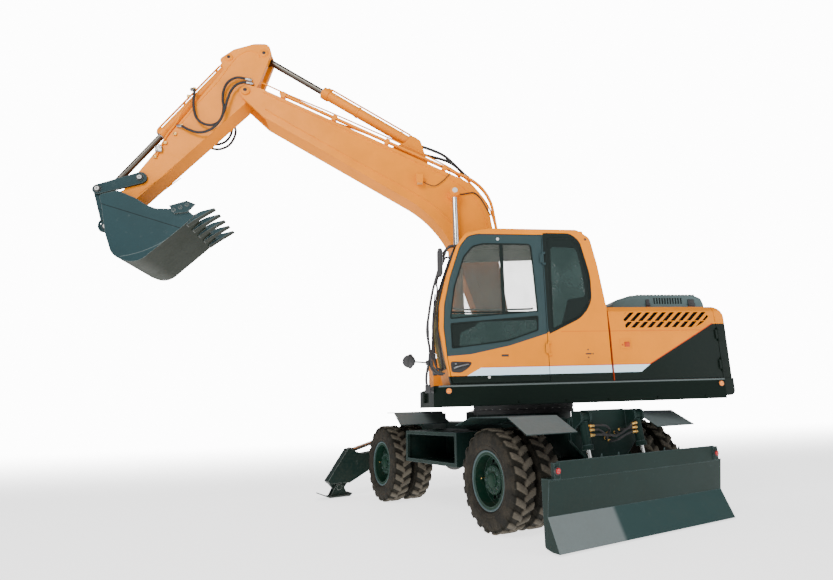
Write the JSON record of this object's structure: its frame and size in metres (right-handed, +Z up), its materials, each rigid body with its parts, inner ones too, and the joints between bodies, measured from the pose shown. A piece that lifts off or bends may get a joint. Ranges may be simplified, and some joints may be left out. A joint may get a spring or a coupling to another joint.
{
  "type": "wheeled_excavator",
  "caption": "Wheeled excavator with twin tyres, dozer blade, two outriggers, cab, cranked boom, arm and backhoe bucket raised high",
  "frame": {"origin": "on the ground under the swing centre", "axes": "+X is where the boom points, +Y is the cab side, left of the boom, +Z is up. The undercarriage stands turned 67 degrees clockwise under it, seen from above"},
  "size_m": [8.096, 5.7688, 6.3945],
  "materials": {
    "yellow_paint": "semi-gloss orange-yellow paint",
    "dark_paint": "dark slate green paint",
    "rim_paint": "dark green paint",
    "cover_paint": "grey-blue paint",
    "barrel_paint": "semi-gloss orange-yellow paint",
    "rod_chrome": "polished",
    "tyre_rubber": "dusty black",
    "cab_panes": "clear",
    "bearing_steel": "greased",
    "black_plastic": "matt",
    "red_lens": "clear gloss",
    "orange_lens": "clear gloss"
  },
  "bodies": {
    "chassis": {"chassis_frame": "dark_paint", "slew_ring": "bearing_steel", "rear_axle": "dark_paint", "front_axle": "dark_paint", "drive_line": "dark_paint", "fenders": "dark_paint", "tool_boxes": "dark_paint"},
    "upper": {"upper_frame": "dark_paint", "counterweight": "yellow_paint", "deck_housing": "yellow_paint", "cab_shell": "yellow_paint", "cab_glass": "cab_panes", "seat": "black_plastic", "cab_controls": "black_plastic", "tanks": "yellow_paint", "engine_block": "bearing_steel", "grab_rails": "black_plastic", "marker_lamps": "orange_lens"},
    "cab_door": {"cab_door": "yellow_paint", "cab_door_glass": "cab_panes"},
    "side_door_left": {"side_door_left": "yellow_paint"},
    "side_door_right": {"side_door_right": "yellow_paint"},
    "engine_hood": {"engine_hood": "cover_paint"},
    "boom": {"boom": "yellow_paint", "boom_pipes": "yellow_paint", "work_lamp": "black_plastic"},
    "boom_barrels": {"boom_barrels": "barrel_paint"},
    "boom_rods": {"boom_rods": "rod_chrome"},
    "arm_barrel": {"arm_barrel": "barrel_paint"},
    "arm_rod": {"arm_rod": "rod_chrome"},
    "arm": {"arm": "yellow_paint"},
    "bucket_barrel": {"bucket_barrel": "barrel_paint"},
    "bucket_rod": {"bucket_rod": "rod_chrome"},
    "rocker": {"rocker": "dark_paint"},
    "bucket_link": {"bucket_link": "dark_paint"},
    "bucket": {"bucket": "dark_paint"},
    "blade": {"blade": "dark_paint", "blade_lamps": "red_lens"},
    "blade_barrels": {"blade_barrels": "barrel_paint"},
    "blade_rods": {"blade_rods": "rod_chrome"},
    "outrigger_leg_left": {"outrigger_leg_left": "dark_paint"},
    "outrigger_foot_left": {"outrigger_foot_left": "dark_paint"},
    "outrigger_barrel_left": {"outrigger_barrel_left": "barrel_paint"},
    "outrigger_rod_left": {"outrigger_rod_left": "rod_chrome"},
    "knuckle_left": {"knuckle_left": "dark_paint"},
    "wheel_front_left": {"tyres_front_left": "tyre_rubber", "rims_front_left": "rim_paint"},
    "wheel_rear_left": {"tyres_rear_left": "tyre_rubber", "rims_rear_left": "rim_paint"},
    "outrigger_leg_right": {"outrigger_leg_right": "dark_paint"},
    "outrigger_foot_right": {"outrigger_foot_right": "dark_paint"},
    "outrigger_barrel_right": {"outrigger_barrel_right": "barrel_paint"},
    "outrigger_rod_right": {"outrigger_rod_right": "rod_chrome"},
    "knuckle_right": {"knuckle_right": "dark_paint"},
    "wheel_front_right": {"tyres_front_right": "tyre_rubber", "rims_front_right": "rim_paint"},
    "wheel_rear_right": {"tyres_rear_right": "tyre_rubber", "rims_rear_right": "rim_paint"}
  },
  "joints": [
    {"name": "swing", "type": "hinge", "parent": "chassis", "child": "upper", "pos_m": [0, 0, 1.285], "axis": [0, 0, 1], "continuous": true},
    {"name": "steer_left", "type": "hinge", "parent": "chassis", "child": "knuckle_left", "pos_m": [1.23834, -1.48412, 0.525], "axis": [0, 0, 1], "range_deg": [-27, 27]},
    {"name": "wheel_front_left", "type": "hinge", "parent": "knuckle_left", "child": "wheel_front_left", "pos_m": [1.74093, -1.27079, 0.525], "axis": [0.9205, 0.3907, 0], "continuous": true},
    {"name": "wheel_rear_left", "type": "hinge", "parent": "chassis", "child": "wheel_rear_left", "pos_m": [0.64688, 1.30663, 0.525], "axis": [0.9205, 0.3907, 0], "continuous": true},
    {"name": "outrigger_left", "type": "hinge", "parent": "chassis", "child": "outrigger_leg_left", "pos_m": [1.38218, -2.41165, 0.64], "axis": [0.3907, -0.9205, 0], "range_deg": [-6, 80]},
    {"name": "outrigger_pad_left", "type": "hinge", "parent": "outrigger_leg_left", "child": "outrigger_foot_left", "pos_m": [2.51441, -1.93105, 0.15], "axis": [0.3907, -0.9205, 0], "range_deg": [-20, 20]},
    {"name": "outrigger_tube_left", "type": "hinge", "parent": "chassis", "child": "outrigger_barrel_left", "pos_m": [1.30854, -2.44291, 0.985], "axis": [0.3907, -0.9205, 0], "range_deg": [-7.5, 88]},
    {"name": "outrigger_ram_left", "type": "slide", "parent": "outrigger_barrel_left", "child": "outrigger_rod_left", "axis": [0.8867, 0.3764, -0.2685], "range_m": [-0.4458, 0.0381]},
    {"name": "steer_right", "type": "hinge", "parent": "chassis", "child": "knuckle_right", "pos_m": [0.20737, -1.92174, 0.525], "axis": [0, 0, 1], "range_deg": [-27, 27]},
    {"name": "wheel_front_right", "type": "hinge", "parent": "knuckle_right", "child": "wheel_front_right", "pos_m": [-0.29523, -2.13508, 0.525], "axis": [0.9205, 0.3907, 0], "continuous": true},
    {"name": "wheel_rear_right", "type": "hinge", "parent": "chassis", "child": "wheel_rear_right", "pos_m": [-1.38927, 0.44233, 0.525], "axis": [0.9205, 0.3907, 0], "continuous": true},
    {"name": "outrigger_right", "type": "hinge", "parent": "chassis", "child": "outrigger_leg_right", "pos_m": [0.77465, -2.66953, 0.64], "axis": [-0.3907, 0.9205, 0], "range_deg": [-6, 80]},
    {"name": "outrigger_pad_right", "type": "hinge", "parent": "outrigger_leg_right", "child": "outrigger_foot_right", "pos_m": [-0.35757, -3.15013, 0.15], "axis": [-0.3907, 0.9205, 0], "range_deg": [-20, 20]},
    {"name": "outrigger_tube_right", "type": "hinge", "parent": "chassis", "child": "outrigger_barrel_right", "pos_m": [0.84829, -2.63828, 0.985], "axis": [-0.3907, 0.9205, 0], "range_deg": [-7.5, 88]},
    {"name": "outrigger_ram_right", "type": "slide", "parent": "outrigger_barrel_right", "child": "outrigger_rod_right", "axis": [-0.8867, -0.3764, -0.2685], "range_m": [-0.4458, 0.0381]},
    {"name": "blade_lift", "type": "hinge", "parent": "chassis", "child": "blade", "pos_m": [-0.48841, 1.15063, 0.5], "axis": [0.9205, 0.3907, 0], "range_deg": [-8, 25]},
    {"name": "blade_tubes", "type": "hinge", "parent": "chassis", "child": "blade_barrels", "pos_m": [-0.60954, 1.43599, 1.13], "axis": [0.9205, 0.3907, 0], "range_deg": [-2, 1.3]},
    {"name": "blade_rams", "type": "slide", "parent": "blade_barrels", "child": "blade_rods", "axis": [-0.0632, 0.1489, -0.9868], "range_m": [-0.1826, 0.0618]},
    {"name": "boom_lift", "type": "hinge", "parent": "upper", "child": "boom", "pos_m": [0.25, 0, 1.9], "axis": [0, -1, 0], "range_deg": [-75, 12]},
    {"name": "boom_tubes", "type": "hinge", "parent": "upper", "child": "boom_barrels", "pos_m": [0.85, 0, 1.45], "axis": [0, -1, 0], "range_deg": [-73.8, 12.6]},
    {"name": "boom_rams", "type": "slide", "parent": "boom_barrels", "child": "boom_rods", "axis": [0.0148, 0, 0.9999], "range_m": [-0.92, 0.1514]},
    {"name": "arm_crowd", "type": "hinge", "parent": "boom", "child": "arm", "pos_m": [3.739, 0, 5.603], "axis": [0, 1, 0], "range_deg": [-64.6, 53.6]},
    {"name": "arm_tube", "type": "hinge", "parent": "boom", "child": "arm_barrel", "pos_m": [1.42, 0, 4.99], "axis": [0, 1, 0], "range_deg": [-3.3, 2.9]},
    {"name": "arm_ram", "type": "slide", "parent": "arm_barrel", "child": "arm_rod", "axis": [0.8614, 0, 0.5079], "range_m": [-0.6364, 0.5289]},
    {"name": "bucket_curl", "type": "hinge", "parent": "arm", "child": "bucket", "pos_m": [5.14, 0, 3.97], "axis": [0, 1, 0], "range_deg": [-138, 12]},
    {"name": "bucket_tube", "type": "hinge", "parent": "arm", "child": "bucket_barrel", "pos_m": [4.005, 0, 6.14], "axis": [0, 1, 0], "range_deg": [-3.8, 1.2]},
    {"name": "bucket_ram", "type": "slide", "parent": "bucket_barrel", "child": "bucket_rod", "axis": [0.5745, 0, -0.8185], "range_m": [-0.7822, 0.0726]},
    {"name": "rocker_turn", "type": "hinge", "parent": "arm", "child": "rocker", "pos_m": [4.95, 0, 4.28], "axis": [0, 1, 0], "range_deg": [-101.1, 9.7]},
    {"name": "link_turn", "type": "hinge", "parent": "rocker", "child": "bucket_link", "pos_m": [5.43, 0, 4.11], "axis": [0, 1, 0], "range_deg": [-5.6, 54.1]},
    {"name": "cab_door", "type": "hinge", "parent": "upper", "child": "cab_door", "pos_m": [-0.031, 1.236, 2.4], "axis": [0, 0, 1], "range_deg": [0, 150]},
    {"name": "side_door_left", "type": "hinge", "parent": "upper", "child": "side_door_left", "pos_m": [-2.167, 1.236, 1.95], "axis": [0, 0, 1], "range_deg": [0, 120]},
    {"name": "side_door_right", "type": "hinge", "parent": "upper", "child": "side_door_right", "pos_m": [-2.167, -1.236, 1.95], "axis": [0, 0, -1], "range_deg": [0, 120]},
    {"name": "engine_hood", "type": "hinge", "parent": "upper", "child": "engine_hood", "pos_m": [-1.65, -0.5, 2.416], "axis": [1, 0, 0], "range_deg": [0, 65]}
  ],
  "couplings": [
    {"joint": "outrigger_tube_left", "follows": "outrigger_left", "ratio": 1.088},
    {"joint": "outrigger_ram_left", "follows": "outrigger_left", "m_per_rad": -0.3157},
    {"joint": "outrigger_tube_right", "follows": "outrigger_right", "ratio": 1.088},
    {"joint": "outrigger_ram_right", "follows": "outrigger_right", "m_per_rad": -0.3157},
    {"joint": "steer_right", "follows": "steer_left", "ratio": 1},
    {"joint": "blade_tubes", "follows": "blade_lift", "ratio": -0.041},
    {"joint": "blade_rams", "follows": "blade_lift", "m_per_rad": -0.407},
    {"joint": "boom_tubes", "follows": "boom_lift", "ratio": 0.97},
    {"joint": "boom_rams", "follows": "boom_lift", "m_per_rad": 0.699},
    {"joint": "arm_tube", "follows": "arm_crowd", "ratio": 0.035},
    {"joint": "arm_ram", "follows": "arm_crowd", "m_per_rad": 0.56},
    {"joint": "bucket_tube", "follows": "bucket_curl", "ratio": 0.02},
    {"joint": "bucket_ram", "follows": "bucket_curl", "m_per_rad": 0.3227},
    {"joint": "rocker_turn", "follows": "bucket_curl", "ratio": 0.7257},
    {"joint": "link_turn", "follows": "bucket_curl", "ratio": -0.3846}
  ]
}
